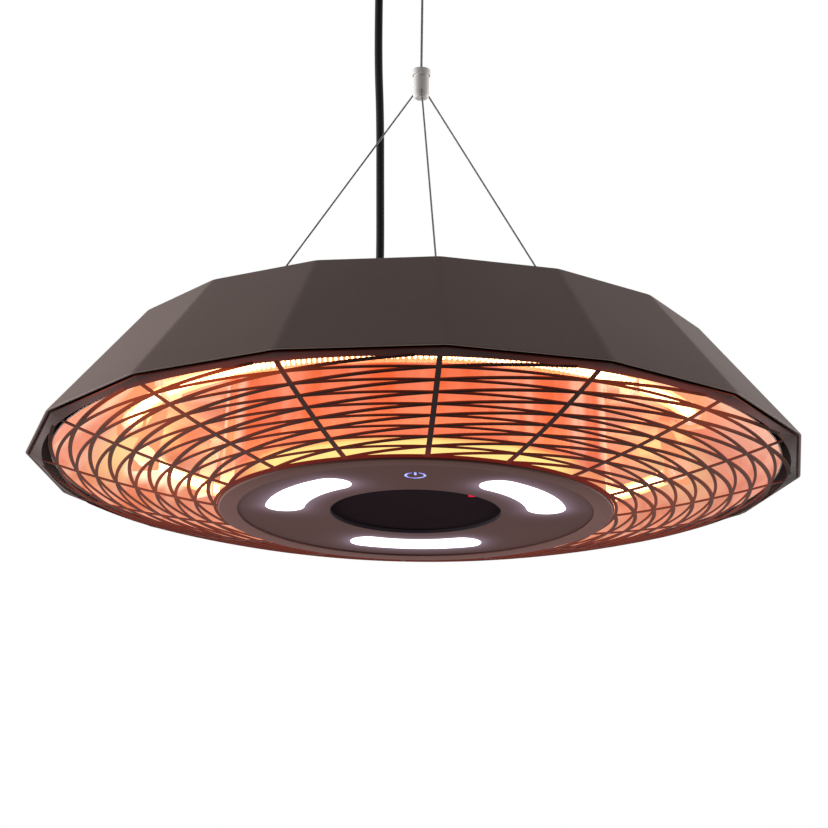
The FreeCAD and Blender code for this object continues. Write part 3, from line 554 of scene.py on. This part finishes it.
def strap(inner, outer, close):
    """Flat strip with eased edges between two rows of points on the dome: its lower face, and the rest."""
    side = (outer - inner) / np.linalg.norm(outer - inner, axis=-1, keepdims=True) * guard_soft
    soft, wall = up * guard_soft, up * guard_wall
    rows = [inner + side, outer - side, outer + soft, outer + wall - soft, outer - side + wall,
            inner + side + wall, inner + wall - soft, inner + soft, inner + side]
    points = np.stack(rows, 1)
    if not close:
        ends = np.repeat(points[[0, -1], :-1].mean(1, keepdims=True), len(rows), 1)
        points = np.concatenate([ends[:1], points, ends[1:]])
    return [(points[:, :2], grid_quads(len(points), 2, close_u=close)),
            (points[:, 1:], grid_quads(len(points), len(rows) - 1, close_u=close))]


def side_r(azimuth):
    """Distance from the middle to a sixteen-sided outline of corner radius 1."""
    return np.cos(np.pi / facets) / np.cos(np.radians(azimuth % spoke_step - spoke_step / 2))


def lattice_strap(r, azimuth, width, close, rise=0.0):
    """Strip of one width, measured outwards, along a row of radii and azimuths on the dome."""
    low, high = r - width / 2, r + width / 2
    return strap(polar(low, azimuth, dome(low) + rise), polar(high, azimuth, dome(high) + rise), close)


az = np.linspace(0, 360, hoop_rows, endpoint=False)
strips = []
for i in range(hoops):
    strips += lattice_strap(hoop_top - i * hoop_step + 0 * az, az, hoop_w, True)
plain = lattice_strap(inner_hoop_r + 0 * az, az, inner_hoop_w, True)
band = strap(polar(band_r, az, dome(band_r)), polar(guard_r * side_r(az), az, dome(guard_r)), True)
inmost, in_band = hoop_top - (hoops - 1) * hoop_step, band_r + band_lap
along = np.linspace(0, (in_band - inmost) / hoop_step * spoke_step, slant_rows)
slant_r = inmost + hoop_step * along / spoke_step
r = np.linspace(spoke_inner, in_band, spoke_rows)
spread = np.degrees(np.arcsin(spoke_w / 2 / r))
low = dome(r) - spoke_drop
for k in range(facets):
    spoke_az = guard_clock + k * spoke_step
    strips += lattice_strap(slant_r, spoke_az + along, slant_w, False, slant_rise)
    plain += strap(polar(r, spoke_az - spread, low), polar(r, spoke_az + spread, low), False)
unlit = (0.0, 0.0, 0.0)
# Painted bright spots on the guard: x and y in metres, and the share of their painted red light.
painted_glow_spots = ((-0.190, -0.028, 0.7), (-0.212, -0.165, 0.7), (0.192, -0.025, 0.3), (0.200, -0.190, 0.4))


def coat_with_painted_glow(name, colour, painted_glow, front_share, tube_share):
    """Powder coat with painted glow of the elements: faint at the front, more at the flanks, less at the
    outer edge and the rear, with painted red light by the lamp, the tubes and a few bright spots.
    """
    coat = powder_coat(name, colour, fade=0.84, gloss=0.01)
    coat.feed(Emission_Strength=1.0)
    x, y = coat.xyz()[:2]
    r = length(x, y)
    painted_flank_light = (abs(x) + y - x * 0.3).step(-0.22, 0.16)
    outer, rear = r.step(0.270, band_r / 1000), y.step(0.06, 0.20)
    lit = (painted_flank_light * (1.0 - front_share) + front_share) * (1.0 - outer.math("MAXIMUM", rear * 0.6) * 0.85)
    painted_colour = coat.mix(unlit, painted_glow, lit)
    by_lamp = (1.0 - r.step(lamp_r / 1000, 0.178)) * r.step(0.1505, 0.1515) * (1.0 - y.step(-0.09, -0.01))
    painted_colour = coat.mix(painted_colour, (0.15, 0.005, 0.002), by_lamp * 0.8)
    for hot_x, hot_y, share in painted_glow_spots:
        by_spot = 1.0 - length(x - hot_x, y - hot_y).step(0.012, 0.058)
        painted_colour = coat.mix(painted_colour, (0.32, 0.045, 0.012), by_spot * share)
    by_tube = r.step(0.256, 0.272) * (1.0 - r.step(0.284, 0.287)) * (1.0 - y.step(-0.24, -0.15))
    more_left = abs(x).step(0.06, 0.14) * (0.55 - x * 1.6)
    coat.feed(Emission_Color=coat.mix(painted_colour, (0.45, 0.050, 0.010), by_tube * more_left * tube_share))
    return coat


# The guard's strips and spokes carry painted glow of the elements, and their edges glow red as painted
# light.
strip_coat = coat_with_painted_glow("guard_strip_coat", (0.009, 0.005, 0.004), (0.082, 0.040, 0.032),
                         front_share=0.04, tube_share=1.0)
spoke_coat = coat_with_painted_glow("guard_spoke_coat", (0.020, 0.014, 0.014), (0.075, 0.034, 0.026),
                         front_share=0.05, tube_share=0.3)
edge_coat = coat_with_painted_glow("guard_lit_edges", (0.016, 0.005, 0.004), (0.22, 0.018, 0.004),
                        front_share=0.5, tube_share=1.0)
band_coat = powder_coat("guard_band_coat", (0.021, 0.014, 0.013), fade=0.84, gloss=0.04)
# Painted light: the band glows red along its inner edge at the front, by the tube, and its base colour is
# lighter on the left.
band_coat.feed(Emission_Strength=1.0)
x, y = band_coat.xyz()[:2]
by_edge = 1.0 - length(x, y).step((band_r - 2.0) / 1000, guard_r / 1000)
by_tube = (1.0 - y.step(-0.24, -0.06)) * (abs(x).step(0.02, 0.12) * 0.85 + 0.15)
painted_light_left = (-x).step(0.25, 0.30)
band_coat.feed(Emission_Color=band_coat.mix(unlit, (0.12, 0.009, 0.004), by_edge * by_tube))
band_coat.feed(Base_Color=band_coat.mix(band_coat.fed("Base Color"), (0.050, 0.034, 0.031), painted_light_left))
coats = [strip_coat, edge_coat] * (len(strips) // 2) + [spoke_coat, edge_coat] * (len(plain) // 2)
coats += [band_coat, edge_coat]
piece("lattice_guard", strips + plain + band, coats, "guard", smooth=False)


# Lamp unit: a turned trim ring that clamps the guard's inner edge, a flat face plate, three opal arc
# windows, a flush touch key and a smoked window sunk in the middle, with a small red light on it.
led_mid_r, led_w, led_half, led_half_step, lamp_clock = 100.5, 30.0, 30.4, 60.0, -4.0
spill_fall, well_edge = 0.16, (65.5, 66.2)
trim_ease, trim_sides = 0.4, 192
trim_profile = eased([(138.0, -37.4), (136.6, -37.4), (136.6, -38.6), (150.2, -38.6), (lamp_r, -37.8),
                      (lamp_r, -37.1), (140.6, -37.1), (140.6, -22.4), (139.1, -22.4), (139.1, -37.4),
                      (138.0, -37.4)], trim_ease)
trim_coat = powder_coat("trim_powder_coat", (0.050, 0.021, 0.017), fade=0.88, gloss=0.045)
# Painted light: the trim ring's colour is lighter towards the rear.
painted_light_to_rear = trim_coat.xyz()[1].step(-0.16, 0.0)
trim_coat.feed(Base_Color=trim_coat.mix(trim_coat.fed("Base Color"), (0.092, 0.043, 0.038), painted_light_to_rear * 0.9))
piece("trim_ring", [turned(trim_profile, trim_sides)], trim_coat, "lamp_trim_ring")
face_coat = powder_coat("face_powder_coat", (0.049, 0.020, 0.018), fade=0.88, gloss=0.045)
# Painted light spill: the face glows pale violet round the LED windows, fading with distance from them.
face_coat.feed(Emission_Strength=0.45)
x, y = [axis * 1000.0 for axis in face_coat.xyz()[:2]]
r = length(x, y)
# Painted shade: inside the well's edge the face is near black.
past_well = r.step(*well_edge)
face_coat.feed(Base_Color=face_coat.mix((0.012, 0.008, 0.010), face_coat.fed("Base Color"), past_well))
around = x.math("ARCTAN2", -y) - math.radians(lamp_clock + led_half_step)
around = abs(around.math("WRAP", math.radians(led_half_step), -math.radians(led_half_step)))
beyond = (around - (math.radians(led_half) - led_w / 2 / led_mid_r)).math("MAXIMUM", 0.0) * r
painted_spill = ((length(beyond, r - led_mid_r) - led_w / 2) * -spill_fall).math("EXPONENT").math("MINIMUM", 1.0)
face_coat.feed(Emission_Color=face_coat.mix(unlit, (0.42, 0.33, 0.46), painted_spill))
dress(face_coat, "lamp_face")
# Painted shade: the window well's wall is near black.
well_coat = powder_coat("well_powder_coat", (0.010, 0.007, 0.008), fade=0.88, gloss=0.0)
dress(well_coat, "window_well")
opal = Finish("glowing_opal", Base_Color=(0.9, 0.9, 0.9), Roughness=0.3, Emission_Strength=1.6)
even = opal.noise(scale=40.0, detail=2.0)
opal.feed(Emission_Color=opal.mix((0.97, 0.94, 1.0), (1.0, 1.0, 1.0), even))
dress(opal, "led_window_rear", "led_window_right", "led_window_left")
key = Finish("blue_light_guide", Base_Color=(0.02, 0.03, 0.2), Roughness=0.3, Emission_Strength=1.0)
shine = key.noise(scale=300.0, detail=2.0).step(0.35, 0.65)
key.feed(Emission_Color=key.mix((0.05, 0.06, 0.80), (0.45, 0.55, 1.0), shine))
dress(key, "touch_icon")
smoke = Finish("smoked_acrylic", Roughness=0.4, Specular_IOR_Level=0.0)
tint = smoke.noise(scale=14.0, detail=2.0)
smoke.feed(Base_Color=smoke.mix((0.0080, 0.0050, 0.0062), (0.0115, 0.0075, 0.0090), tint))
dress(smoke, "centre_window")
red = Finish("red_light", Base_Color=(0.2, 0.005, 0.01), Roughness=0.5, Specular_IOR_Level=0.0)
ember = red.noise(scale=500.0, detail=2.0)
red.feed(Emission_Color=red.mix((0.75, 0.01, 0.03), (1.0, 0.03, 0.06), ember), Emission_Strength=0.7)
dress(red, "indicator")


# Studio: a pale floor under the heater, a white surround, soft lamps left and right, and the camera below
# the heater's front, looking up at it.
white = (1.0, 1.0, 1.0)
floor_size, floor_rows, floor_level, floor_colour = 80.0, 9, -4.2, (0.86, 0.86, 0.86)


def whiten(nodes, lit, kind, share, end):
    """Show a share of plain white in place of the lit shader to rays from the camera, mirrors and glass."""
    seen = nodes.node("ShaderNodeLightPath", {}, {}, out="Is Camera Ray")
    for ray in ("Is Glossy Ray", "Is Transmission Ray"):
        seen = seen.math("MAXIMUM", nodes.node("ShaderNodeLightPath", {}, {}, out=ray))
    plain_white = nodes.node(kind, {}, {"Color": white, "Strength": 1.0})
    lit = Value(nodes, lit.outputs[0])
    blend = nodes.node("ShaderNodeMixShader", {}, {0: seen * share, 1: lit, 2: plain_white})
    nodes.put(nodes.tree.nodes[end].inputs["Surface"], blend)


side = np.linspace(-floor_size / 2, floor_size / 2, floor_rows)
x, y = np.meshgrid(side, side, indexing="ij")
floor_mesh = bpy.data.meshes.new("floor")
floor_points = np.stack([x, y, np.full_like(x, floor_level)], -1).reshape(-1, 3)
floor_mesh.from_pydata(floor_points.tolist(), [], grid_quads(floor_rows, floor_rows).tolist())
floor = bpy.data.objects.new("floor", floor_mesh)
bpy.context.scene.collection.objects.link(floor)
floor_paint = Finish("floor_paint", Roughness=0.7)
mottle = floor_paint.noise(scale=3.0, detail=3.0)
floor_paint.feed(Base_Color=floor_paint.mix(floor_colour, tuple(c * 0.97 for c in floor_colour), mottle))
whiten(floor_paint, floor_paint.shader, "ShaderNodeEmission", 0.7, "Material Output")
floor_mesh.materials.append(floor_paint.material)

world = bpy.data.worlds.new("white_surround")
bpy.context.scene.world = world
world.use_nodes = True
surround = Nodes(world.node_tree)
dim_white = surround.tree.nodes["Background"]
surround.put(dim_white.inputs["Color"], white)
surround.put(dim_white.inputs["Strength"], 0.55)
whiten(surround, dim_white, "ShaderNodeBackground", 1.0, "World Output")

softbox_size, softbox_aim = 2.4, (0.0, 0.0, -0.42)


def softbox(name, place, power):
    """Square soft lamp that faces the heater."""
    light = bpy.data.lights.new(name, "AREA")
    light.shape = "RECTANGLE"
    light.size = light.size_y = softbox_size
    light.energy = power
    made = bpy.data.objects.new(name, light)
    bpy.context.scene.collection.objects.link(made)
    to_heater = Vector(softbox_aim) - Vector(place)
    made.matrix_world = Matrix.Translation(place) @ to_heater.to_track_quat("-Z", "Y").to_matrix().to_4x4()


softbox("left_softbox", (-2.44, 0.86, -0.78), 250.0)
softbox("right_softbox", (2.40, 0.95, -0.78), 155.0)

camera_place, heading, pitch, roll = (-0.1314, -2.0256, -1.0513), math.radians(3.65), 0.2930, 0.0135
focal_px, picture_px, sensor_w = 2736.8, 828.0, 36.0
ahead = Vector((math.sin(heading) * math.cos(pitch), math.cos(heading) * math.cos(pitch), math.sin(pitch)))
level_right = Vector((math.cos(heading), -math.sin(heading), 0.0))
level_up = level_right.cross(ahead)
camera_right = level_right * math.cos(roll) + level_up * math.sin(roll)
camera_up = camera_right.cross(ahead)
lens = bpy.data.cameras.new("camera")
lens.sensor_width = sensor_w
lens.lens = sensor_w * focal_px / picture_px
lens.clip_end = 50.0
camera = bpy.data.objects.new("camera", lens)
bpy.context.scene.collection.objects.link(camera)
turn = Matrix((camera_right, camera_up, -ahead)).transposed().to_4x4()
camera.matrix_world = Matrix.Translation(camera_place) @ turn
bpy.context.scene.camera = camera
bpy.context.scene.view_settings.view_transform = "Standard"
